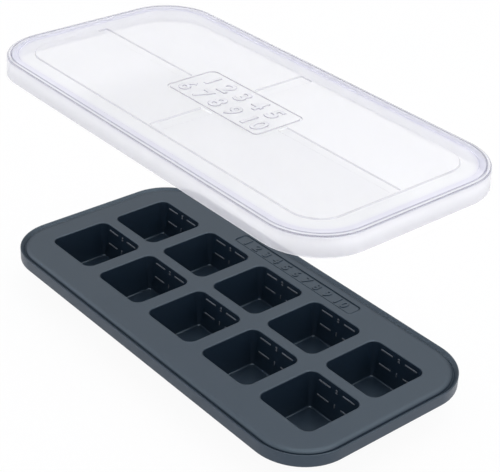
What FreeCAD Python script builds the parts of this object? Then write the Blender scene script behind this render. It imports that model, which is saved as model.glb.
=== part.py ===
import FreeCAD, Part
import math
import os

from FreeCAD import Vector

# A baby food freezer tray: a silicone tray of square cups with a steel wire
# inside its rim, and a clear lid that lifts straight up off the rim.
# Millimetres and degrees. +X runs along the tray, +Z is up, and the origin is
# the middle of the tray at the surface it stands on.

# Cups
columns = 5
rows = 2
mouth_width = 41.0            # square mouth of a cup, at the deck
mouth_corner_radius = 5.5
mouth_edge_radius = 0.8       # rounding where the deck turns down into a cup
web_along = 10.0              # deck between two mouths, along the tray
web_across = 7.7              # deck between two mouths, across the tray
cup_depth = 24.0
cup_draft = 4.65              # lean of every cup wall, so that cubes push out
cup_wall = 2.0
cup_floor = 2.0
floor_edge_radius = 1.2
foot_edge_radius = 3.0

# Fill lines on the far wall of each cup: raised dashes either side of a gap
# that is left for a numeral
upper_line_depth = 3.85       # below the deck; a cup holds two tablespoons to here
dash_length = 9.3
dash_height = 0.9
dash_relief = 0.35
dash_gap = 10.0

# Deck and rim
deck_thickness = 2.5
end_margin = 20.0             # last mouth to the outside of the rim
side_margin = 25.15
rim_corner_radius = 32.0
rim_height = 8.0
rim_width = 6.5
rim_edge_radius = 1.0
crest_width = 0.8             # narrow top at the outside of the rim
crest_edge_radius = 0.35
crest_slope_width = 2.0       # from the crest down into the groove
groove_depth = 2.0
groove_flat = 0.25
shoulder_slope_width = 1.6    # from the groove up to the deck
shoulder_radius = 4.0

# Wire inside the rim
wire_diameter = 3.0
wire_clearance = 0.1

# Lid
lid_clearance = 0.6           # between the rim and the inside of the skirt
lid_seat_gap = 0.3            # between the rim's crest and the closed lid
lid_plate = 1.8
lid_wall = 1.2
lid_flare = 0.6               # how far the skirt leans out at its hem
lid_edge_radius = 1.5
skirt_below_rim = 1.5         # skirt that hangs past the closed rim
lid_ring_width = 6.5          # raised ring round the top of the lid
panel_inset = 16.5            # lid edge to the raised field of panels
step_depth = 0.7              # how far the moat and the channels are let down
long_channel_width = 7.0
short_channel_width = 10.0
channel_corner_radius = 2.0
channel_end = 2.0             # field left beyond the end of each channel
label_length = 81.2           # flat place in the middle, where the channels stop
label_width = 37.2
lid_lift = 130.0              # height of the lid over its closed place at rest

# Worked out from the sizes above
overlap = 1.0                 # how far cutting tools run past what they cut
deck_top = cup_depth + cup_floor
deck_under = deck_top - deck_thickness
rim_bottom = deck_top - rim_height
groove_floor = deck_top - groove_depth
tile_length = mouth_width + web_along
tile_width = mouth_width + web_across
field_length = columns * tile_length
field_width = rows * tile_width
tray_length = field_length - web_along + 2 * end_margin
tray_width = field_width - web_across + 2 * side_margin


def rounded_rectangle(length, width, radius, height):
    # A closed wire about the Z axis at the given height, made anticlockwise
    reach_x, reach_y = length / 2 - radius, width / 2 - radius
    arcs = []
    for side_x, side_y, start_angle in ((1, -1, -90), (1, 1, 0), (-1, 1, 90), (-1, -1, 180)):
        arc = []
        for turn in (0, 45, 90):
            angle = math.radians(start_angle + turn)
            arc.append(Vector(side_x * reach_x + radius * math.cos(angle),
                              side_y * reach_y + radius * math.sin(angle), height))
        arcs.append(arc)
    edges = []
    for number, arc in enumerate(arcs):
        next_arc = arcs[(number + 1) % len(arcs)]
        edges.append(Part.Arc(*arc).toShape())
        edges.append(Part.LineSegment(arc[-1], next_arc[0]).toShape())
    return Part.Wire(edges)


def rounded_block(length, width, radius, bottom, top):
    face = Part.Face(rounded_rectangle(length, width, radius, bottom))
    return face.extrude(Vector(0, 0, top - bottom))


def leaning_block(low, high, bottom, top):
    # Loft between two rounded rectangles, each given as length, width and radius
    return Part.makeLoft([rounded_rectangle(*low, bottom), rounded_rectangle(*high, top)], True, True)


def centred_box(length, width, bottom, top):
    corner = Vector(-length / 2, -width / 2, bottom)
    return Part.makeBox(length, width, top - bottom, corner)


def edges_at_height(shape, height, length, width):
    # Edges that lie at one height, within a length and width about the Z axis
    slack = 0.01
    chosen = []
    for edge in shape.Edges:
        box = edge.BoundBox
        level = abs(box.ZMin - height) < slack and abs(box.ZMax - height) < slack
        inside_length = max(-box.XMin, box.XMax) < length / 2 + slack
        inside_width = max(-box.YMin, box.YMax) < width / 2 + slack
        if level and inside_length and inside_width:
            chosen.append(edge)
    return chosen


def cavity_width(depth):
    # Width of a cup's hollow at a depth below the deck
    return mouth_width - 2 * depth * math.tan(math.radians(cup_draft))


def cup_block(side_offset, bottom, top):
    # The cup's leaning block between two heights, each wall moved out by side_offset
    radius = mouth_corner_radius + side_offset
    low = cavity_width(deck_top - bottom) + 2 * side_offset
    high = cavity_width(deck_top - top) + 2 * side_offset
    return leaning_block((low, low, radius), (high, high, radius), bottom, top)


def filled_volume(depth):
    # Volume of the hollow below a line at the given depth, floor edges taken as sharp
    slices = 200
    step = (cup_depth - depth) / slices
    corner_loss = (4 - math.pi) * mouth_corner_radius ** 2
    volume = 0.0
    for number in range(slices):
        middle = depth + (number + 0.5) * step
        volume += (cavity_width(middle) ** 2 - corner_loss) * step
    return volume


def half_volume_depth():
    # Depth of the line that holds half of what the upper line holds
    target = filled_volume(upper_line_depth) / 2
    shallow, deep = upper_line_depth, cup_depth
    for _ in range(40):
        middle = (shallow + deep) / 2
        if filled_volume(middle) > target:
            shallow = middle
        else:
            deep = middle
    return (shallow + deep) / 2


def fill_dash(depth, side):
    # One raised dash on the far wall, on the left (-1) or right (+1) of the gap
    wall_face = cavity_width(depth) / 2
    start_x = dash_gap / 2 if side > 0 else -dash_gap / 2 - dash_length
    corner = Vector(start_x, wall_face - dash_relief, deck_top - depth - dash_height / 2)
    return Part.makeBox(dash_length, dash_relief + cup_wall / 2, dash_height, corner)


def tray_cup():
    # One cup about the Z axis, with the square of deck round its mouth
    outside = cup_block(cup_wall, 0, deck_under + deck_thickness / 2)
    outside = outside.makeFillet(foot_edge_radius, edges_at_height(outside, 0, tile_length, tile_width))
    deck = centred_box(tile_length, tile_width, deck_under, deck_top)
    hollow = cup_block(0, cup_floor, deck_top + overlap)
    floor_edges = edges_at_height(hollow, cup_floor, tile_length, tile_width)
    hollow = hollow.makeFillet(floor_edge_radius, floor_edges)
    cup = outside.fuse(deck).cut(hollow)
    mouth_edges = edges_at_height(cup, deck_top, mouth_width, mouth_width)
    cup = cup.makeFillet(mouth_edge_radius, mouth_edges)
    line_depths = (upper_line_depth, half_volume_depth())
    dashes = [fill_dash(depth, side) for depth in line_depths for side in (-1, 1)]
    return cup.fuse(dashes).removeSplitter()


def inset_from_rim(inset):
    # Length, width and corner radius of the rim's outline moved in by inset
    return tray_length - 2 * inset, tray_width - 2 * inset, rim_corner_radius - inset


def wire_path_block(diameter):
    # A round ring that follows the middle of the rim, under the groove
    length, width, radius = inset_from_rim(rim_width / 2)
    height = rim_bottom + (rim_height - groove_depth) / 2
    path = rounded_rectangle(length, width, radius, height)
    start = path.Edges[0].Vertexes[0].Point
    section = Part.Wire(Part.makeCircle(diameter / 2, start, Vector(1, 0, 0)))
    return Part.Wire(path.Edges).makePipeShell([section], True, False)


def tray_rim():
    # The deck round the field of cups, with its groove, crest and hanging bead
    rim = rounded_block(*inset_from_rim(0), rim_bottom, deck_top)
    rim = rim.makeFillet(rim_edge_radius, edges_at_height(rim, rim_bottom, tray_length, tray_width))
    rim = rim.makeFillet(crest_edge_radius, edges_at_height(rim, deck_top, tray_length, tray_width))
    underside = rounded_block(*inset_from_rim(rim_width), rim_bottom - overlap, deck_under)
    crest_head = inset_from_rim(crest_width)
    crest_foot = inset_from_rim(crest_width + crest_slope_width)
    groove = leaning_block(crest_foot, crest_head, groove_floor, deck_top)
    groove = groove.fuse(rounded_block(*crest_head, deck_top, deck_top + overlap))
    slope_start = crest_width + crest_slope_width + groove_flat
    slope_foot = inset_from_rim(slope_start)
    slope_head = inset_from_rim(slope_start + shoulder_slope_width)
    island = leaning_block(slope_foot, slope_head, groove_floor, deck_top)
    island = island.makeFillet(shoulder_radius, edges_at_height(island, deck_top, tray_length, tray_width))
    rim = rim.cut(underside).cut(groove.cut(island))
    rim = rim.cut(centred_box(field_length, field_width, rim_bottom - overlap, deck_top + overlap))
    return rim.cut(wire_path_block(wire_diameter + 2 * wire_clearance))


def lid_outline(grow):
    # Length, width and corner radius of the skirt's inner face moved out by grow
    spread = lid_clearance + grow
    return tray_length + 2 * spread, tray_width + 2 * spread, rim_corner_radius + spread


def lid():
    # The lid in its closed place: a plate with a skirt that hangs round the rim
    under = deck_top + lid_seat_gap
    top = under + lid_plate
    hem = rim_bottom - skirt_below_rim
    outside = leaning_block(lid_outline(lid_wall + lid_flare), lid_outline(lid_wall), hem, top)
    top_edges = edges_at_height(outside, top, *lid_outline(lid_wall)[:2])
    outside = outside.makeFillet(lid_edge_radius, top_edges)
    inside = leaning_block(lid_outline(lid_flare), lid_outline(0), hem, under)
    shell = outside.cut(inside)

    floor = top - step_depth
    moat = rounded_block(*lid_outline(lid_wall - lid_ring_width), floor, top + overlap)
    field_outline = lid_outline(lid_wall - panel_inset)
    recess = moat.cut(rounded_block(*field_outline, floor, top + overlap))
    long_channel = field_outline[0] / 2 - channel_end - label_length / 2
    short_channel = field_outline[1] / 2 - channel_end - label_width / 2
    corner = channel_corner_radius
    for side in (-1, 1):
        along = rounded_block(long_channel, long_channel_width, corner, floor, top + overlap)
        across = rounded_block(short_channel_width, short_channel, corner, floor, top + overlap)
        along.translate(Vector(side * (label_length + long_channel) / 2, 0, 0))
        across.translate(Vector(0, side * (label_width + short_channel) / 2, 0))
        recess = recess.fuse([along, across])
    return shell.cut(recess).removeSplitter()


def save(shape, node):
    solids = shape.Solids
    solid = solids[0] if len(solids) == 1 else Part.makeCompound(solids)
    print(node, "solids", len(solids), "valid", solid.isValid(), "volume", round(solid.Volume, 1))
    solid.exportStep("parts/" + node + ".step")


os.makedirs("parts", exist_ok=True)
print("tray", tray_length, "by", tray_width, "by", deck_top)
print("volume to the upper line, in ml", round(filled_volume(upper_line_depth) / 1000, 2))
print("depth of the lower line", round(half_volume_depth(), 2))

one_cup = tray_cup()
for row in range(rows):
    for column in range(columns):
        place = Vector((column - (columns - 1) / 2) * tile_length, (row - (rows - 1) / 2) * tile_width, 0)
        save(one_cup.translated(place), "tray_cup_" + str(row * columns + column + 1))
save(tray_rim(), "tray_rim")
save(wire_path_block(wire_diameter), "rim_wire")
save(lid().translated(Vector(0, 0, lid_lift)), "lid")
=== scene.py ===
import math
import bmesh
import bpy
from mathutils import Matrix, Vector


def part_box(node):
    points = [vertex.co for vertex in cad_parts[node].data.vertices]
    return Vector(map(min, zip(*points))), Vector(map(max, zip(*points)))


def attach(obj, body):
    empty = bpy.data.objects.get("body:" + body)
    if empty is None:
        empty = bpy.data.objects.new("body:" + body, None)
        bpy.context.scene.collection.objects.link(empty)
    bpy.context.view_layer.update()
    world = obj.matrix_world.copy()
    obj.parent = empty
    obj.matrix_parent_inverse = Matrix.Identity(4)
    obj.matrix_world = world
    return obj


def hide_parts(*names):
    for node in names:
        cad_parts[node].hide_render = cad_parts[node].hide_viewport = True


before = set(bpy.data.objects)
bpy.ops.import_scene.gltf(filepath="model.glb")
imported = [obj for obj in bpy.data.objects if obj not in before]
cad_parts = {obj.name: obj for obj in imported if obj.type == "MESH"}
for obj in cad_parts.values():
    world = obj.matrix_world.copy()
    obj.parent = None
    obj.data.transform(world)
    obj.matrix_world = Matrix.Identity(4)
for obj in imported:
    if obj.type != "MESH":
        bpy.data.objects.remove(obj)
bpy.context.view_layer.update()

mm = 0.001

# Sizes that come from the frame
rimLow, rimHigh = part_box("tray_rim")
lidLow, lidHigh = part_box("lid")
cupNodes = sorted(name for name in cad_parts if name.startswith("tray_cup_"))
trayLength = rimHigh.x - rimLow.x
trayWidth = rimHigh.y - rimLow.y
deckTop = rimHigh.z
rimBottom = rimLow.z

mergeWithin = 0.002 * mm    # points nearer than this become one
levelSlack = 0.02 * mm      # an open edge this near a height belongs to it
smoothAngle = math.radians(40)
numeralShare = 0.7          # a numeral's height in the built-in font of size 1


# Modelling steps that every moulded piece shares

def onlySelect(*pieces):
    bpy.ops.object.select_all(action="DESELECT")
    for piece in pieces:
        piece.select_set(True)
    bpy.context.view_layer.objects.active = pieces[0]


def startPlate(name, length, width, corner, height, segments):
    # a flat plate with rounded corners, left in edit mode with its one face selected
    bpy.ops.object.select_all(action="DESELECT")
    bpy.ops.mesh.primitive_plane_add(size=1)
    plate = bpy.context.object
    plate.name = name
    plate.data.name = name
    bpy.ops.object.mode_set(mode="EDIT")
    bpy.ops.mesh.select_all(action="SELECT")
    bpy.ops.transform.resize(value=(length, width, 1))
    bpy.ops.transform.translate(value=(0, 0, height))
    bpy.ops.mesh.bevel(offset=corner, segments=segments, affect="VERTICES")
    bpy.ops.mesh.select_mode(type="FACE")
    bpy.ops.mesh.select_all(action="SELECT")
    return plate


def stepIn(steps):
    # each step moves the selected face's outline in by its first number and up by its second
    for inward, upward in steps:
        bpy.ops.mesh.inset(thickness=inward, depth=upward)


def evenSteps(inward, upward, count):
    return [(inward / count, upward / count)] * count


def quarterOver(radius, segments, up):
    # from a wall onto a flat: rises or sinks first, then turns inward
    steps = []
    for number in range(segments):
        start = math.pi / 2 * number / segments
        end = math.pi / 2 * (number + 1) / segments
        inward = radius * (math.cos(start) - math.cos(end))
        steps.append((inward, up * radius * (math.sin(end) - math.sin(start))))
    return steps


def quarterInto(radius, segments, up):
    # from a flat onto a wall: turns inward first, then rises or sinks
    return [(abs(upward), up * inward) for inward, upward in quarterOver(radius, segments, 1)]


def softSlope(width, rise, segments):
    # an S-shaped slope, level at both ends
    steps = []
    for number in range(segments):
        start = (1 - math.cos(math.pi * number / segments)) / 2
        end = (1 - math.cos(math.pi * (number + 1) / segments)) / 2
        steps.append((width / segments, rise * (end - start)))
    return steps


def openTop():
    # take away the face that the steps ended on, so that its outline can be joined on
    bpy.ops.mesh.delete(type="ONLY_FACE")
    bpy.ops.object.mode_set(mode="OBJECT")


def keepTop():
    # keep the face that the steps ended on
    bpy.ops.object.mode_set(mode="OBJECT")


def flipped(piece):
    onlySelect(piece)
    bpy.ops.object.mode_set(mode="EDIT")
    bpy.ops.mesh.select_all(action="SELECT")
    bpy.ops.mesh.flip_normals()
    bpy.ops.object.mode_set(mode="OBJECT")
    return piece


def copyAt(piece, x, y, z=0):
    twin = piece.copy()
    twin.data = piece.data.copy()
    bpy.context.scene.collection.objects.link(twin)
    onlySelect(twin)
    bpy.ops.transform.translate(value=(x, y, z))
    bpy.ops.object.transform_apply(location=True, rotation=True, scale=True)
    return twin


def joined(name, pieces):
    onlySelect(*pieces)
    bpy.ops.object.join()
    whole = bpy.context.object
    whole.name = name
    whole.data.name = name
    return whole


def selectOpenEdges(piece, low, high):
    # select the open edges whose ends lie between two heights; the piece is in edit mode
    bpy.ops.mesh.select_mode(type="EDGE")
    bpy.ops.mesh.select_all(action="DESELECT")
    shape = bmesh.from_edit_mesh(piece.data)
    for edge in shape.edges:
        if edge.is_boundary and all(low <= vert.co.z <= high for vert in edge.verts):
            edge.select_set(True)
    bmesh.update_edit_mesh(piece.data)


def fillLevel(piece, height):
    # flat surface between all the open outlines at one height
    onlySelect(piece)
    bpy.ops.object.mode_set(mode="EDIT")
    selectOpenEdges(piece, height - levelSlack, height + levelSlack)
    bpy.ops.mesh.fill(use_beauty=True)
    bpy.ops.object.mode_set(mode="OBJECT")


def bridgeLevels(piece, low, high):
    # wall between the two open outlines that lie between these heights
    onlySelect(piece)
    bpy.ops.object.mode_set(mode="EDIT")
    selectOpenEdges(piece, low - levelSlack, high + levelSlack)
    bpy.ops.mesh.bridge_edge_loops()
    bpy.ops.object.mode_set(mode="OBJECT")


def mergePoints():
    # merge what meets, and turn every face outward
    bpy.ops.object.mode_set(mode="EDIT")
    bpy.ops.mesh.select_all(action="SELECT")
    bpy.ops.mesh.remove_doubles(threshold=mergeWithin)
    bpy.ops.mesh.normals_make_consistent(inside=False)
    bpy.ops.object.mode_set(mode="OBJECT")


def finishMesh(piece):
    # one closed mesh, shaded smooth with its flats kept flat
    onlySelect(piece)
    mergePoints()
    bpy.ops.object.shade_smooth_by_angle(angle=smoothAngle)
    weighted = piece.modifiers.new("flats", "WEIGHTED_NORMAL")
    weighted.keep_sharp = True
    weighted.weight = 100
    bpy.ops.object.modifier_apply(modifier=weighted.name)
    return piece


def numeralText(name, body, look):
    # plain numerals as a mesh lying flat about the origin, as far above it as below, with rounded edges
    bpy.ops.object.select_all(action="DESELECT")
    bpy.ops.object.text_add()
    text = bpy.context.object
    text.name = name
    text.data.body = body
    text.data.align_x = "CENTER"
    text.data.align_y = "CENTER"
    text.data.size = look["numeralHeight"] / numeralShare
    text.data.space_character = look["spacing"]
    text.data.offset = look["thicken"]
    text.data.extrude = look["relief"] - look["edge"]
    text.data.bevel_depth = look["edge"]
    text.data.bevel_resolution = 1
    text.data.resolution_u = 4
    bpy.ops.object.convert(target="MESH")
    text = bpy.context.object
    text.data.name = name
    mergePoints()
    across = [vert.co.x for vert in text.data.vertices]
    along = [vert.co.y for vert in text.data.vertices]
    middle = ((min(across) + max(across)) / 2, (min(along) + max(along)) / 2)
    bpy.ops.transform.translate(value=(-middle[0], -middle[1], 0))
    bpy.ops.object.transform_apply(location=True, rotation=True, scale=True)
    return text


def buildLabelLine(name, label):
    # a shallow line let into a flat surface, round a label's place, which may lie a little lower
    line, deep, slope = label["lineWidth"], label["lineDepth"], label["lineSlope"]
    segments = label["slopeSegments"]
    frameLine = startPlate(name, label["length"], label["width"], label["corner"], 0, label["cornerSegments"])
    stepIn(softSlope(slope, -deep, segments))
    stepIn([(line - 2 * slope, 0)])
    stepIn(softSlope(slope, deep - label["fieldDepth"], segments))
    keepTop()
    return frameLine


# The tray: a rim with a groove behind its crest, a deck, and cups that hang from it

trayShape = {
    "rimCorner": 32 * mm,
    "rimEdge": 1.0 * mm,    # round on the lower edges of the rim
    "crestEdge": 0.35 * mm,    # round on the outer edge of the crest
    "crestWidth": 0.8 * mm,
    "crestSlope": 2.0 * mm,    # from the crest down into the groove
    "grooveFlat": 0.25 * mm,
    "grooveDepth": 2.0 * mm,
    "grooveSegments": 8,
    "shoulder": 3.4 * mm,    # from the groove up onto the deck
    "beadWidth": 6.5 * mm,    # the thick edge that holds the wire
    "beadLean": 0.1 * mm,
    "deckThickness": 2.5 * mm,
    "underRound": 1.5 * mm,    # round where the deck's underside turns down
    "cornerSegments": 20,
    "roundSegments": 5,
    "slopeSegments": 3,
}
cupShape = {
    "mouth": 41.0 * mm,    # across the hollow, at the deck
    "mouthCorner": 5.5 * mm,
    "mouthEdge": 0.8 * mm,
    "draft": math.radians(4.65),    # lean of the walls
    "wall": 2.0 * mm,
    "floor": 2.0 * mm,
    "floorEdge": 1.0 * mm,
    "cornerPinch": 0.55,    # corner radius at the table, as a share of the mouth's
    "footEdge": 3.0 * mm,
    "cornerSegments": 10,
    "roundSegments": 6,
    "wallSegments": 4,
}


def cupMiddles():
    # where the cups stand, read from the frame
    middles = []
    for name in cupNodes:
        low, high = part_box(name)
        middles.append(((low.x + high.x) / 2, (low.y + high.y) / 2))
    return middles


def cupHalf(depth):
    # half the width of a cup's hollow at a depth below the deck
    return cupShape["mouth"] / 2 - depth * math.tan(cupShape["draft"])


def pinchCorners(piece):
    # the corners of a cup's hollow tighten towards its floor
    centre = cupShape["mouth"] / 2 - cupShape["mouthCorner"]
    for vert in piece.data.vertices:
        share = 1 - (1 - cupShape["cornerPinch"]) * (deckTop - vert.co.z) / deckTop
        past = [abs(vert.co.x) - centre, abs(vert.co.y) - centre]
        radius = math.hypot(*past)
        for axis in (0, 1):
            vert.co[axis] = math.copysign(centre + radius * (1 - share) + past[axis] * share, vert.co[axis])
    return piece


def buildCupInside():
    edge = cupShape["mouthEdge"]
    around = cupShape["roundSegments"]
    depth = deckTop - cupShape["floor"]
    wide = cupShape["mouth"] + 2 * edge
    inside = startPlate("cupInside", wide, wide, cupShape["mouthCorner"] + edge, deckTop,
                        cupShape["cornerSegments"])
    stepIn(quarterInto(edge, around, -1))
    wallHeight = depth - edge - cupShape["floorEdge"]
    stepIn(evenSteps(wallHeight * math.tan(cupShape["draft"]), -wallHeight, cupShape["wallSegments"]))
    stepIn(quarterOver(cupShape["floorEdge"], around, -1))
    keepTop()
    return pinchCorners(inside)


def buildCupOutside():
    under = deckTop - trayShape["deckThickness"]
    around = cupShape["roundSegments"]
    root = trayShape["underRound"]
    wide = 2 * (cupHalf(trayShape["deckThickness"]) + cupShape["wall"] + root)
    outside = startPlate("cupOutside", wide, wide, cupShape["mouthCorner"] + cupShape["wall"] + root, under,
                         cupShape["cornerSegments"])
    stepIn(quarterInto(root, around, -1))
    wallHeight = under - root - cupShape["footEdge"]
    stepIn(evenSteps(wallHeight * math.tan(cupShape["draft"]), -wallHeight, cupShape["wallSegments"]))
    stepIn(quarterOver(cupShape["footEdge"], around, -1))
    keepTop()
    return flipped(outside)


def buildRimTop():
    shape = trayShape
    around = shape["roundSegments"]
    edge, deep = shape["crestEdge"], shape["grooveDepth"]
    top = startPlate("rimTop", trayLength, trayWidth, shape["rimCorner"], deckTop - edge,
                     shape["cornerSegments"])
    stepIn(quarterOver(edge, around, 1))
    bends = (edge / 8, edge / 3)    # the crest's inner edge falls a little, then more
    stepIn([(shape["crestWidth"] - 2 * edge, 0)] + [(edge / 2, -bend) for bend in bends])
    stepIn(evenSteps(shape["crestSlope"], sum(bends) - deep, shape["slopeSegments"]))
    stepIn([(shape["grooveFlat"], 0)])
    shoulder = quarterOver(deep, shape["grooveSegments"], 1)
    stepIn([(inward * shape["shoulder"] / deep, upward) for inward, upward in shoulder])
    openTop()
    return top


def buildRimUnder():
    shape = trayShape
    around = shape["roundSegments"]
    edge = shape["rimEdge"]
    root = shape["underRound"]
    under = startPlate("rimUnder", trayLength, trayWidth, shape["rimCorner"], rimBottom + edge,
                       shape["cornerSegments"])
    stepIn(quarterOver(edge, around, -1))
    stepIn([(shape["beadWidth"] - 2 * edge, 0)])
    stepIn(quarterInto(edge, around, 1))
    rise = deckTop - shape["deckThickness"] - rimBottom - edge - root
    stepIn([(shape["beadLean"], rise)])
    stepIn(quarterOver(root, around, 1))
    openTop()
    return flipped(under)


trayLabel = {
    "length": 109 * mm,
    "width": 11 * mm,
    "corner": 2.8 * mm,
    "middleY": 55.3 * mm,
    "lineWidth": 1.3 * mm,
    "lineDepth": 0.75 * mm,
    "lineSlope": 0.35 * mm,
    "fieldDepth": 0.3 * mm,    # how far the label's field lies below the deck
    "cornerSegments": 6,
    "slopeSegments": 4,
    "numerals": "1 2 3 4 5 6 7 8 9 10",
    "numeralHeight": 6.4 * mm,
    "standsOver": 0.15 * mm,
    "relief": 0.35 * mm,
    "edge": 0.14 * mm,
    "thicken": 0.12 * mm,
    "spacing": 1.25,
}


def buildTray():
    middles = cupMiddles()
    inside, outside = buildCupInside(), buildCupOutside()
    parts = [buildRimTop(), buildRimUnder()]
    for x, y in middles:
        parts.append(copyAt(inside, x, y))
        parts.append(copyAt(outside, x, y))
    bpy.data.objects.remove(inside)
    bpy.data.objects.remove(outside)
    labelLine = buildLabelLine("trayLabelLine", trayLabel)
    parts.append(copyAt(labelLine, 0, trayLabel["middleY"], deckTop))
    bpy.data.objects.remove(labelLine)
    tray = joined("trayMoulding", parts)
    fillLevel(tray, deckTop)
    fillLevel(tray, deckTop - trayShape["deckThickness"])
    bridgeLevels(tray, rimBottom + trayShape["rimEdge"], deckTop - trayShape["crestEdge"])
    return finishMesh(tray)


fillLines = {
    "depths": {"2": 3.85 * mm, "1": 13.49 * mm},    # numeral, and its depth below the deck
    "dashLength": 9.3 * mm,
    "dashHeight": 0.9 * mm,
    "dashGap": 10.0 * mm,
    "dashEdge": 0.22 * mm,
    "dashSegments": 3,
    "relief": 0.35 * mm,
    "numeralHeight": 2.2 * mm,
    "edge": 0.12 * mm,
    "thicken": 0.02 * mm,
    "spacing": 1.0,
}


def buildDash():
    # one raised dash lying flat about the origin
    bpy.ops.object.select_all(action="DESELECT")
    bpy.ops.mesh.primitive_cube_add(size=1)
    dash = bpy.context.object
    bpy.ops.object.mode_set(mode="EDIT")
    bpy.ops.mesh.select_all(action="SELECT")
    size = (fillLines["dashLength"], fillLines["dashHeight"], 2 * fillLines["relief"])
    bpy.ops.transform.resize(value=size)
    bpy.ops.mesh.bevel(offset=fillLines["dashEdge"], segments=fillLines["dashSegments"], affect="EDGES")
    bpy.ops.object.mode_set(mode="OBJECT")
    return dash


def buildFillMarks():
    # dashes and a numeral for each line, laid flat, then turned up onto the far wall
    dash = buildDash()
    reach = (fillLines["dashGap"] + fillLines["dashLength"]) / 2
    oneCup = []
    for numeral, depth in fillLines["depths"].items():
        flat = [copyAt(dash, -reach, 0), copyAt(dash, reach, 0), numeralText("numeral", numeral, fillLines)]
        marks = joined("marks", flat)
        marks.rotation_euler = (math.pi / 2 - cupShape["draft"], 0, 0)
        marks.location = (0, cupHalf(depth), deckTop - depth)
        onlySelect(marks)
        bpy.ops.object.transform_apply(location=True, rotation=True, scale=True)
        oneCup.append(marks)
    bpy.data.objects.remove(dash)
    pattern = joined("pattern", oneCup)
    everyCup = [copyAt(pattern, x, y) for x, y in cupMiddles()]
    bpy.data.objects.remove(pattern)
    return finishMesh(joined("fillMarks", everyCup))


def buildTrayNumerals():
    numerals = numeralText("trayNumerals", trayLabel["numerals"], trayLabel)
    height = deckTop + trayLabel["standsOver"] - trayLabel["relief"]
    placed = copyAt(numerals, 0, trayLabel["middleY"], height)
    bpy.data.objects.remove(numerals)
    placed.name = "trayNumerals"
    return finishMesh(placed)


# The lid

lidShape = {
    "corner": 33.8 * mm,
    "wall": 1.2 * mm,
    "plate": 1.8 * mm,
    "flare": 0.6 * mm,    # the skirt is this much wider at its foot, on each side
    "topEdge": 1.5 * mm,
    "innerFillet": 0.8 * mm,
    "ringWidth": 6.5 * mm,    # from the outline to the raised ring's inner edge
    "panelInset": 16.5 * mm,    # from the outline to the panels
    "ridgeWidth": 2.6 * mm,    # from the outline to the fine line near it
    "ridgeLine": 0.35 * mm,
    "stepDepth": 0.7 * mm,
    "stepRound": 0.35 * mm,
    "longChannel": 7.0 * mm,
    "shortChannel": 10.0 * mm,
    "channelCorner": 1.3 * mm,
    "channelEnd": 0.8 * mm,    # panel left outside a channel's end
    "channelGap": 0.6 * mm,    # flat left between the label and a channel
    "cornerSegments": 24,
    "roundSegments": 4,
    "wallSegments": 3,
    "slopeSegments": 6,
}


def lidOutline(grow):
    # length, width and corner radius of the lid's top outline moved out by grow
    length = lidHigh.x - lidLow.x - 2 * lidShape["flare"] + 2 * grow
    width = lidHigh.y - lidLow.y - 2 * lidShape["flare"] + 2 * grow
    return length, width, lidShape["corner"] + grow


def buildLidTop():
    shape = lidShape
    around = shape["roundSegments"]
    soft, deep, segments = shape["stepRound"], shape["stepDepth"], shape["slopeSegments"]
    length, width, corner = lidOutline(shape["flare"])
    top = startPlate("lidTop", length, width, corner, lidLow.z, shape["cornerSegments"])
    edge = shape["topEdge"]
    wallHeight = lidHigh.z - lidLow.z - edge
    stepIn(evenSteps(shape["flare"], wallHeight, shape["wallSegments"]))
    stepIn(quarterOver(edge, around, 1))
    line = shape["ridgeLine"]
    stepIn([(shape["ridgeWidth"] - edge - line, 0), (line, -line), (line, line)])
    stepIn([(shape["ringWidth"] - shape["ridgeWidth"] - line - soft, 0)])
    stepIn(softSlope(2 * soft, -deep, segments))
    stepIn([(shape["panelInset"] - shape["ringWidth"] - 2 * soft, 0)])
    stepIn(softSlope(2 * soft, deep, segments))
    openTop()
    return top


def buildLidUnder():
    shape = lidShape
    length, width, corner = lidOutline(shape["flare"] - shape["wall"])
    under = startPlate("lidUnder", length, width, corner, lidLow.z, shape["cornerSegments"])
    fillet = shape["innerFillet"]
    wallHeight = lidHigh.z - shape["plate"] - lidLow.z - fillet
    stepIn(evenSteps(shape["flare"], wallHeight, shape["wallSegments"]))
    stepIn(quarterOver(fillet, shape["roundSegments"], 1))
    keepTop()
    return flipped(under)


lidLabel = {
    "length": 80 * mm,
    "width": 36 * mm,
    "corner": 4.5 * mm,
    "lineWidth": 1.9 * mm,
    "lineDepth": 0.5 * mm,
    "lineSlope": 0.5 * mm,
    "fieldDepth": 0.0,
    "cornerSegments": 8,
    "slopeSegments": 4,
    "rows": ("1 2 3 4 5", "6 7 8 9 10"),
    "rowPitch": 15.5 * mm,
    "numeralHeight": 11.0 * mm,
    "relief": 0.5 * mm,
    "edge": 0.45 * mm,
    "thicken": 0.15 * mm,
    "spacing": 1.08,
}


def buildChannels():
    # four closed channels between the panels, each stopping at the label
    shape = lidShape
    length, width, _ = lidOutline(-shape["panelInset"])
    channels = []
    for along, reach, labelSize, wide in (
        (True, length, lidLabel["length"], shape["longChannel"]),
        (False, width, lidLabel["width"], shape["shortChannel"]),
    ):
        start = labelSize / 2 + shape["channelGap"]
        end = reach / 2 - shape["channelEnd"]
        size = (end - start, wide) if along else (wide, end - start)
        channel = startPlate("channel", *size, shape["channelCorner"], lidHigh.z, shape["slopeSegments"])
        stepIn(softSlope(2 * shape["stepRound"], -shape["stepDepth"], shape["slopeSegments"]))
        keepTop()
        for side in (-1, 1):
            middle = side * (start + end) / 2
            channels.append(copyAt(channel, middle if along else 0, 0 if along else middle))
        bpy.data.objects.remove(channel)
    return channels


# where painted shade goes on the small slopes and walls of the lid's top
stepShadePlaces = {
    "fromEdge": 2.0 * mm,    # nothing nearer the lid's outline is marked
    "plainBesideLabel": 1.4 * mm,    # nothing this near outside the label is marked
    "onLabel": 1.0,
    "onPanels": 0.6,
    "depthShare": 1.2,    # nothing lower than this share of a step's depth is marked
    "slopes": (-0.2, 0.97),    # how far up a marked face may point
}


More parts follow.
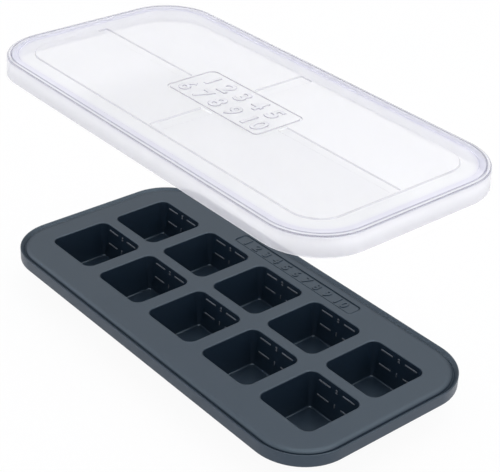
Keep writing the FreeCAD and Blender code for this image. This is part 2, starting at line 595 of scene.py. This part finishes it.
def placeStepShade(piece, low):
    # painted shade: mark the slopes and small walls on top of the lid, above a height and inside its rounded
    # edge, for a darker tone in place of their shading:
    # strongly on the label, faintly on the panels, and not where a channel ends beside the label
    length, width, _ = lidOutline(-stepShadePlaces["fromEdge"])
    steepest, flattest = stepShadePlaces["slopes"]
    marks = piece.data.attributes.new("step", "FLOAT", "FACE")
    for face, mark in zip(piece.data.polygons, marks.data):
        middle = face.center
        inside = abs(middle.x) < length / 2 and abs(middle.y) < width / 2
        past = max(abs(middle.x) - lidLabel["length"] / 2, abs(middle.y) - lidLabel["width"] / 2)
        if middle.z <= low or not inside or not steepest < face.normal.z < flattest:
            mark.value = 0.0
        elif past < 0:
            mark.value = stepShadePlaces["onLabel"]
        else:
            mark.value = 0.0 if past < stepShadePlaces["plainBesideLabel"] else stepShadePlaces["onPanels"]
    return piece


def buildLid():
    parts = [buildLidTop(), buildLidUnder()] + buildChannels()
    labelLine = buildLabelLine("lidLabelLine", lidLabel)
    parts.append(copyAt(labelLine, 0, 0, lidHigh.z))
    bpy.data.objects.remove(labelLine)
    lid = joined("lidShell", parts)
    fillLevel(lid, lidHigh.z)
    bridgeLevels(lid, lidLow.z, lidLow.z)
    return placeStepShade(finishMesh(lid), lidHigh.z - stepShadePlaces["depthShare"] * lidShape["stepDepth"])


def buildLidNumerals():
    rows = []
    for number, body in enumerate(lidLabel["rows"]):
        row = numeralText("row", body, lidLabel)
        rows.append(copyAt(row, 0, (0.5 - number) * lidLabel["rowPitch"], lidHigh.z))
        bpy.data.objects.remove(row)
    # the numerals' sides get the same painted shade as the lid's steps
    return placeStepShade(finishMesh(joined("lidNumerals", rows)), lidHigh.z)


# Shader node groups

def newGroup(name, inputs, outputs):
    group = bpy.data.node_groups.new(name, "ShaderNodeTree")
    for label, kind, value in inputs:
        socket = group.interface.new_socket(name=label, in_out="INPUT", socket_type=kind)
        socket.default_value = value
    for label, kind in outputs:
        group.interface.new_socket(name=label, in_out="OUTPUT", socket_type=kind)
    source = group.nodes.new("NodeGroupInput")
    result = group.nodes.new("NodeGroupOutput")
    return group, source, result


def makeMottle():
    # slow change of tone over the surface, as in pigmented silicone or cast plastic
    group, source, result = newGroup(
        "mottle",
        [("Color", "NodeSocketColor", (0.5, 0.5, 0.5, 1)), ("Scale", "NodeSocketFloat", 20.0),
         ("Amount", "NodeSocketFloat", 0.1)],
        [("Color", "NodeSocketColor")])
    links = group.links
    place = group.nodes.new("ShaderNodeTexCoord")
    noise = group.nodes.new("ShaderNodeTexNoise")
    noise.inputs["Detail"].default_value = 4
    centre = group.nodes.new("ShaderNodeMath")
    centre.operation = "SUBTRACT"
    centre.inputs[1].default_value = 0.5
    amount = group.nodes.new("ShaderNodeMath")
    amount.operation = "MULTIPLY_ADD"
    amount.inputs[2].default_value = 1.0
    tone = group.nodes.new("ShaderNodeVectorMath")
    tone.operation = "SCALE"
    links.new(place.outputs["Object"], noise.inputs["Vector"])
    links.new(source.outputs["Scale"], noise.inputs["Scale"])
    links.new(noise.outputs["Fac"], centre.inputs[0])
    links.new(centre.outputs[0], amount.inputs[0])
    links.new(source.outputs["Amount"], amount.inputs[1])
    links.new(source.outputs["Color"], tone.inputs[0])
    links.new(amount.outputs[0], tone.inputs["Scale"])
    links.new(tone.outputs[0], result.inputs["Color"])
    return group


def makeGrain():
    # fine matt grain: a height for the bump and a roughness that varies with it
    group, source, result = newGroup(
        "grain",
        [("Scale", "NodeSocketFloat", 900.0), ("Roughness", "NodeSocketFloat", 0.5),
         ("Spread", "NodeSocketFloat", 0.1)],
        [("Roughness", "NodeSocketFloat"), ("Height", "NodeSocketFloat")])
    links = group.links
    place = group.nodes.new("ShaderNodeTexCoord")
    fine = group.nodes.new("ShaderNodeTexNoise")
    fine.inputs["Detail"].default_value = 3
    wide = group.nodes.new("ShaderNodeTexNoise")
    wide.inputs["Scale"].default_value = 35
    wide.inputs["Detail"].default_value = 5
    centre = group.nodes.new("ShaderNodeMath")
    centre.operation = "SUBTRACT"
    centre.inputs[1].default_value = 0.5
    rough = group.nodes.new("ShaderNodeMath")
    rough.operation = "MULTIPLY_ADD"
    rough.use_clamp = True
    links.new(place.outputs["Object"], fine.inputs["Vector"])
    links.new(place.outputs["Object"], wide.inputs["Vector"])
    links.new(source.outputs["Scale"], fine.inputs["Scale"])
    links.new(wide.outputs["Fac"], centre.inputs[0])
    links.new(centre.outputs[0], rough.inputs[0])
    links.new(source.outputs["Spread"], rough.inputs[1])
    links.new(source.outputs["Roughness"], rough.inputs[2])
    links.new(rough.outputs[0], result.inputs["Roughness"])
    links.new(fine.outputs["Fac"], result.inputs["Height"])
    return group


def makeOutlineInset():
    # how far a point lies inside a rounded outline about the Z axis, in metres
    group, source, result = newGroup(
        "outlineInset",
        [("Half Size", "NodeSocketVector", (0.1, 0.1, 0.0)), ("Corner", "NodeSocketFloat", 0.03)],
        [("Inset", "NodeSocketFloat")])
    links = group.links
    place = group.nodes.new("ShaderNodeTexCoord")
    mirrored = group.nodes.new("ShaderNodeVectorMath")
    mirrored.operation = "ABSOLUTE"
    past = group.nodes.new("ShaderNodeVectorMath")
    past.operation = "SUBTRACT"
    cornerPast = group.nodes.new("ShaderNodeVectorMath")
    cornerPast.operation = "ADD"
    outside = group.nodes.new("ShaderNodeVectorMath")
    outside.operation = "MAXIMUM"
    outside.inputs[1].default_value = (0, 0, 0)
    flat = group.nodes.new("ShaderNodeVectorMath")
    flat.operation = "MULTIPLY"
    flat.inputs[1].default_value = (1, 1, 0)
    reach = group.nodes.new("ShaderNodeVectorMath")
    reach.operation = "LENGTH"
    inset = group.nodes.new("ShaderNodeMath")
    inset.operation = "SUBTRACT"
    links.new(place.outputs["Object"], mirrored.inputs[0])
    links.new(mirrored.outputs[0], past.inputs[0])
    links.new(source.outputs["Half Size"], past.inputs[1])
    links.new(past.outputs[0], cornerPast.inputs[0])
    links.new(source.outputs["Corner"], cornerPast.inputs[1])
    links.new(cornerPast.outputs[0], outside.inputs[0])
    links.new(outside.outputs[0], flat.inputs[0])
    links.new(flat.outputs[0], reach.inputs[0])
    links.new(source.outputs["Corner"], inset.inputs[0])
    links.new(reach.outputs["Value"], inset.inputs[1])
    links.new(inset.outputs[0], result.inputs["Inset"])
    return group


mottle = makeMottle()
grain = makeGrain()
outlineInset = makeOutlineInset()


# Finishes; mottle is a scale and an amount, and the scales of mottle and grain count per metre

bumpDistance = 0.05 * mm
siliconeFinish = {
    "color": (0.008, 0.017, 0.030),
    "mottle": (14, 0.16),
    "grain": 2600,
    "roughness": 0.35,
    "spread": 0.14,
    "bump": 0.25,
    "sheen": 0.9,
    "sheenTint": (0.73, 0.88, 1.0),
}
# painted highlight: the raised fill marks are coloured far lighter than the tray's silicone, standing in for
# the light their tops and edges catch
highlitMarkFinish = {
    "color": (0.12, 0.135, 0.155),
    "mottle": (60, 0.3),
    "grain": 2600,
    "roughness": 0.6,
    "spread": 0.18,
    "bump": 0.3,
    "sheen": 0.4,
}
lidFinish = {
    "color": (0.97, 0.97, 1.0),
    "mottle": (10, 0.04),
    "grain": 1800,
    "roughness": 0.22,
    "spread": 0.1,
    "bump": 0.08,
    "clear": 0.3,
    "bend": 1.49,
    "milky": 0.5,
    "milkyRadius": (1.0, 1.0, 1.1),
    "milkyDepth": 4 * mm,
    "lightThrough": 0.85,
    "seenThrough": 0.45,
    # painted shade on the small slopes and walls of the lid's top, and how strongly
    "stepShadeColor": (0.22, 0.22, 0.27),
    "stepShadeShare": 0.95,
    # painted shade: darker lavender bands along the lid's rounded edge and its fine ridge
    "lines": (
        # inset from the lid's outline, half width, colour
        (5.0 * mm, 5.0 * mm, (0.80, 0.80, 0.94)),
        (0.5 * mm, 0.7 * mm, (0.10, 0.10, 0.20)),
        (lidShape["ridgeWidth"], 0.85 * mm, (0.12, 0.12, 0.20)),
    ),
}
wireFinish = {
    "color": (0.55, 0.56, 0.58),
    "mottle": (200, 0.3),
    "grain": 1500,
    "roughness": 0.3,
    "spread": 0.2,
    "bump": 0.2,
}


def newMaterial(name, finish):
    material = bpy.data.materials.new(name)
    material.use_nodes = True
    nodes, links = material.node_tree.nodes, material.node_tree.links
    shader = nodes["Principled BSDF"]
    tone = nodes.new("ShaderNodeGroup")
    tone.node_tree = mottle
    tone.inputs["Color"].default_value = (*finish["color"], 1)
    tone.inputs["Scale"].default_value, tone.inputs["Amount"].default_value = finish["mottle"]
    texture = nodes.new("ShaderNodeGroup")
    texture.node_tree = grain
    texture.inputs["Scale"].default_value = finish["grain"]
    texture.inputs["Roughness"].default_value = finish["roughness"]
    texture.inputs["Spread"].default_value = finish["spread"]
    relief = nodes.new("ShaderNodeBump")
    relief.inputs["Strength"].default_value = finish["bump"]
    relief.inputs["Distance"].default_value = bumpDistance
    links.new(tone.outputs["Color"], shader.inputs["Base Color"])
    links.new(texture.outputs["Roughness"], shader.inputs["Roughness"])
    links.new(texture.outputs["Height"], relief.inputs["Height"])
    links.new(relief.outputs["Normal"], shader.inputs["Normal"])
    return material, shader


def paintEdgeShade(material, shader, outline, lines):
    # painted shade: darker tone in narrow bands that follow the piece's outline, in place of the dark lines
    # that clear plastic shows where its edges bend the light; a line is inset, half width, colour
    nodes, links = material.node_tree.nodes, material.node_tree.links
    length, width, corner = outline
    inset = nodes.new("ShaderNodeGroup")
    inset.node_tree = outlineInset
    inset.inputs["Half Size"].default_value = (length / 2, width / 2, 0)
    inset.inputs["Corner"].default_value = corner
    color = shader.inputs["Base Color"].links[0].from_socket
    for place, reach, shadeColor in lines:
        away = nodes.new("ShaderNodeMath")
        away.operation = "SUBTRACT"
        away.inputs[1].default_value = place
        near = nodes.new("ShaderNodeMath")
        near.operation = "ABSOLUTE"
        mask = nodes.new("ShaderNodeMapRange")
        mask.interpolation_type = "SMOOTHSTEP"
        mask.inputs["From Max"].default_value = reach
        mask.inputs["To Min"].default_value = 1
        mask.inputs["To Max"].default_value = 0
        mix = nodes.new("ShaderNodeMix")
        mix.data_type = "RGBA"
        mix.inputs["B"].default_value = (*shadeColor, 1)
        links.new(inset.outputs["Inset"], away.inputs[0])
        links.new(away.outputs[0], near.inputs[0])
        links.new(near.outputs[0], mask.inputs["Value"])
        links.new(mask.outputs["Result"], mix.inputs["Factor"])
        links.new(color, mix.inputs["A"])
        color = mix.outputs["Result"]
    links.new(color, shader.inputs["Base Color"])


def letLightThrough(material, shader, share, clearShare):
    # lamps shine through the clear lid, so that it throws only a faint shadow on the tray and
    # hardly shows in the tray's sheen, and a little of what is behind it is seen
    nodes, links = material.node_tree.nodes, material.node_tree.links
    path = nodes.new("ShaderNodeLightPath")
    mirrored = nodes.new("ShaderNodeMath")
    mirrored.operation = "SUBTRACT"
    passing = nodes.new("ShaderNodeMath")
    passing.operation = "MAXIMUM"
    part = nodes.new("ShaderNodeMath")
    part.operation = "MULTIPLY_ADD"
    part.inputs[1].default_value = share - clearShare
    part.inputs[2].default_value = clearShare
    clear = nodes.new("ShaderNodeBsdfTransparent")
    mix = nodes.new("ShaderNodeMixShader")
    links.new(path.outputs["Is Glossy Ray"], mirrored.inputs[0])
    links.new(path.outputs["Is Transmission Ray"], mirrored.inputs[1])
    links.new(path.outputs["Is Shadow Ray"], passing.inputs[0])
    links.new(mirrored.outputs[0], passing.inputs[1])
    links.new(passing.outputs[0], part.inputs[0])
    links.new(part.outputs[0], mix.inputs["Fac"])
    links.new(shader.outputs[0], mix.inputs[1])
    links.new(clear.outputs[0], mix.inputs[2])
    links.new(mix.outputs[0], nodes["Material Output"].inputs["Surface"])


def paintStepShade(material, shader, stepShadeColor, share):
    # painted shade: darker tone on the small slopes marked in the step attribute, in place of their shading
    nodes, links = material.node_tree.nodes, material.node_tree.links
    slope = nodes.new("ShaderNodeAttribute")
    slope.attribute_name = "step"
    part = nodes.new("ShaderNodeMath")
    part.operation = "MULTIPLY"
    part.inputs[1].default_value = share
    mix = nodes.new("ShaderNodeMix")
    mix.data_type = "RGBA"
    mix.inputs["B"].default_value = (*stepShadeColor, 1)
    links.new(slope.outputs["Fac"], part.inputs[0])
    links.new(part.outputs[0], mix.inputs["Factor"])
    links.new(shader.inputs["Base Color"].links[0].from_socket, mix.inputs["A"])
    links.new(mix.outputs["Result"], shader.inputs["Base Color"])


def makeSilicone():
    material, shader = newMaterial("traySilicone", siliconeFinish)
    shader.inputs["Specular IOR Level"].default_value = siliconeFinish["sheen"]
    shader.inputs["Specular Tint"].default_value = (*siliconeFinish["sheenTint"], 1)
    return material


# the fill marks' material, whose light colour is a painted highlight
def makeHighlitMarkSilicone():
    material, shader = newMaterial("highlitMarkSilicone", highlitMarkFinish)
    shader.inputs["Specular IOR Level"].default_value = highlitMarkFinish["sheen"]
    return material


def makeLidPlastic():
    finish = lidFinish
    material, shader = newMaterial("lidPlastic", finish)
    shader.inputs["Transmission Weight"].default_value = finish["clear"]
    shader.inputs["IOR"].default_value = finish["bend"]
    shader.inputs["Subsurface Weight"].default_value = finish["milky"]
    shader.inputs["Subsurface Radius"].default_value = finish["milkyRadius"]
    shader.inputs["Subsurface Scale"].default_value = finish["milkyDepth"]
    letLightThrough(material, shader, finish["lightThrough"], finish["seenThrough"])
    # painted shade on the lid's small steps
    paintStepShade(material, shader, finish["stepShadeColor"], finish["stepShadeShare"])
    # painted shade in bands along the lid's rounded edge and fine ridge
    paintEdgeShade(material, shader, lidOutline(0), finish["lines"])
    return material


def makeWireSteel():
    material, shader = newMaterial("wireSteel", wireFinish)
    shader.inputs["Metallic"].default_value = 1.0
    return material


silicone = makeSilicone()
highlitMarkSilicone = makeHighlitMarkSilicone()
lidPlastic = makeLidPlastic()
wireSteel = makeWireSteel()


def dress(piece, material, body, slotName, *nodes):
    piece.data.materials.clear()
    piece.data.materials.append(material)
    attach(piece, body)
    if nodes:
        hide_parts(*nodes)


# Camera, light and floor

cameraView = {
    "azimuth": 48.92,
    "elevation": 30.56,
    "roll": 2.54,
    "distance": 877 * mm,
    "target": (-39.6 * mm, 50.8 * mm, 35.3 * mm),
    "focal": 99.2,
}
studio = {
    "floorColor": (0.93, 0.93, 0.94),
    "floorWhite": 0.94,
    "floorMirror": 0.25,
    "floorSize": 8,
    "floorRoughness": 0.9,
    "floorSheen": 0.1,
    "worldColor": (0.95, 0.955, 1.0),
    "worldStrength": 0.84,
    "lowSky": (0.40, 0.45),     # how high a direction points, and its brightness in a shiny surface
    "highSky": (0.70, 1.4),
    "lampsAim": (0, 0, 0.05),
    "lamps": (
        # name, place, size, watts, colour
        ("keyLight", (0.1, 0.35, 1.7), 1.4, 6, (1.0, 0.995, 0.98)),
        ("rightLight", (1.4, 0.3, 0.8), 1.2, 3.5, (0.96, 0.95, 1.0)),
        ("leftLight", (-1.3, -0.3, 0.8), 1.0, 1.2, (0.9, 0.9, 1.0)),
        ("lowLight", (1.2, -1.2, 0.24), 0.9, 1, (0.94, 0.92, 1.0)),
    ),
}


def placeCamera():
    data = bpy.data.cameras.new("photoCamera")
    camera = bpy.data.objects.new("photoCamera", data)
    bpy.context.scene.collection.objects.link(camera)
    azimuth = math.radians(cameraView["azimuth"])
    elevation = math.radians(cameraView["elevation"])
    roll = math.radians(cameraView["roll"])
    back = Vector((math.sin(azimuth) * math.cos(elevation), -math.cos(azimuth) * math.cos(elevation),
                   math.sin(elevation)))
    level = Vector((math.cos(azimuth), math.sin(azimuth), 0))
    upright = back.cross(level)
    right = level * math.cos(roll) + upright * math.sin(roll)
    above = upright * math.cos(roll) - level * math.sin(roll)
    camera.rotation_mode = "QUATERNION"
    camera.rotation_quaternion = Matrix((right, above, back)).transposed().to_quaternion()
    camera.location = Vector(cameraView["target"]) + back * cameraView["distance"]
    data.lens = cameraView["focal"]
    data.sensor_width = 36
    data.clip_start = 0.05
    data.clip_end = 20
    bpy.context.scene.camera = camera


def placeLamps():
    for name, place, size, watts, color in studio["lamps"]:
        data = bpy.data.lights.new(name, "AREA")
        data.shape = "DISK"
        data.size = size
        data.energy = watts
        data.color = color
        lamp = bpy.data.objects.new(name, data)
        bpy.context.scene.collection.objects.link(lamp)
        lamp.location = place
        lamp.rotation_mode = "QUATERNION"
        lamp.rotation_quaternion = (Vector(studio["lampsAim"]) - Vector(place)).to_track_quat("-Z", "Y")


def whiteForEye(nodes, links, shaderOut, surface, share, mirrorShare):
    # what the camera, a shiny surface or clear plastic sees is mostly plain white, a shiny
    # surface less so where mirrorShare is low; light on the object stays as set
    path = nodes.new("ShaderNodeLightPath")
    mirrored = nodes.new("ShaderNodeMath")
    mirrored.operation = "MULTIPLY"
    mirrored.inputs[1].default_value = mirrorShare
    through = nodes.new("ShaderNodeMath")
    through.operation = "MAXIMUM"
    seen = nodes.new("ShaderNodeMath")
    seen.operation = "MAXIMUM"
    part = nodes.new("ShaderNodeMath")
    part.operation = "MULTIPLY"
    part.inputs[1].default_value = share
    white = nodes.new("ShaderNodeEmission")
    white.inputs["Strength"].default_value = 1
    mix = nodes.new("ShaderNodeMixShader")
    links.new(path.outputs["Is Glossy Ray"], mirrored.inputs[0])
    links.new(mirrored.outputs[0], through.inputs[0])
    links.new(path.outputs["Is Transmission Ray"], through.inputs[1])
    links.new(path.outputs["Is Camera Ray"], seen.inputs[0])
    links.new(through.outputs[0], seen.inputs[1])
    links.new(seen.outputs[0], part.inputs[0])
    links.new(part.outputs[0], mix.inputs["Fac"])
    links.new(shaderOut, mix.inputs[1])
    links.new(white.outputs[0], mix.inputs[2])
    links.new(mix.outputs[0], surface)
    return path, white


def setWorld():
    world = bpy.data.worlds.new("studioWorld")
    world.use_nodes = True
    bpy.context.scene.world = world
    nodes, links = world.node_tree.nodes, world.node_tree.links
    light = nodes["Background"]
    light.inputs["Color"].default_value = (*studio["worldColor"], 1)
    light.inputs["Strength"].default_value = studio["worldStrength"]
    path, white = whiteForEye(nodes, links, light.outputs[0], nodes["World Output"].inputs["Surface"], 1, 1)
    # a shiny surface sees the light fall off towards the horizon, as under a soft box
    place = nodes.new("ShaderNodeTexCoord")
    split = nodes.new("ShaderNodeSeparateXYZ")
    fall = nodes.new("ShaderNodeMapRange")
    for end, (height, brightness) in (("Min", studio["lowSky"]), ("Max", studio["highSky"])):
        fall.inputs["From " + end].default_value = height
        fall.inputs["To " + end].default_value = brightness - 1
    strength = nodes.new("ShaderNodeMath")
    strength.operation = "MULTIPLY_ADD"
    strength.inputs[2].default_value = 1
    links.new(place.outputs["Generated"], split.inputs[0])
    links.new(split.outputs["Z"], fall.inputs["Value"])
    links.new(path.outputs["Is Glossy Ray"], strength.inputs[0])
    links.new(fall.outputs["Result"], strength.inputs[1])
    links.new(strength.outputs[0], white.inputs["Strength"])


def placeFloor():
    bpy.ops.object.select_all(action="DESELECT")
    bpy.ops.mesh.primitive_plane_add(size=studio["floorSize"])
    floor = bpy.context.object
    floor.name = "studioFloor"
    material = bpy.data.materials.new("paleFloor")
    material.use_nodes = True
    nodes, links = material.node_tree.nodes, material.node_tree.links
    shader = nodes["Principled BSDF"]
    shader.inputs["Base Color"].default_value = (*studio["floorColor"], 1)
    shader.inputs["Roughness"].default_value = studio["floorRoughness"]
    shader.inputs["Specular IOR Level"].default_value = studio["floorSheen"]
    whiteForEye(nodes, links, shader.outputs[0], nodes["Material Output"].inputs["Surface"],
                studio["floorWhite"], studio["floorMirror"])
    floor.data.materials.append(material)


placeCamera()
placeLamps()
setWorld()
placeFloor()
print("camera, lamps and floor placed")

tray = buildTray()
print("tray moulding", len(tray.data.polygons), "faces")
fillMarks = buildFillMarks()
trayNumerals = buildTrayNumerals()
print("marks on the tray")
lid = buildLid()
lidNumerals = buildLidNumerals()
print("lid", len(lid.data.polygons), "faces")

dress(tray, silicone, "tray", "silicone", "tray_rim", *cupNodes)
# the fill marks carry the painted highlight
dress(fillMarks, highlitMarkSilicone, "tray", "silicone")
dress(trayNumerals, silicone, "tray", "silicone")
dress(lid, lidPlastic, "lid", "clear_plastic", "lid")
dress(lidNumerals, lidPlastic, "lid", "clear_plastic")
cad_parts["rim_wire"].data.materials.clear()
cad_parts["rim_wire"].data.materials.append(wireSteel)
print("pieces dressed")

bpy.context.scene.view_settings.view_transform = "Standard"
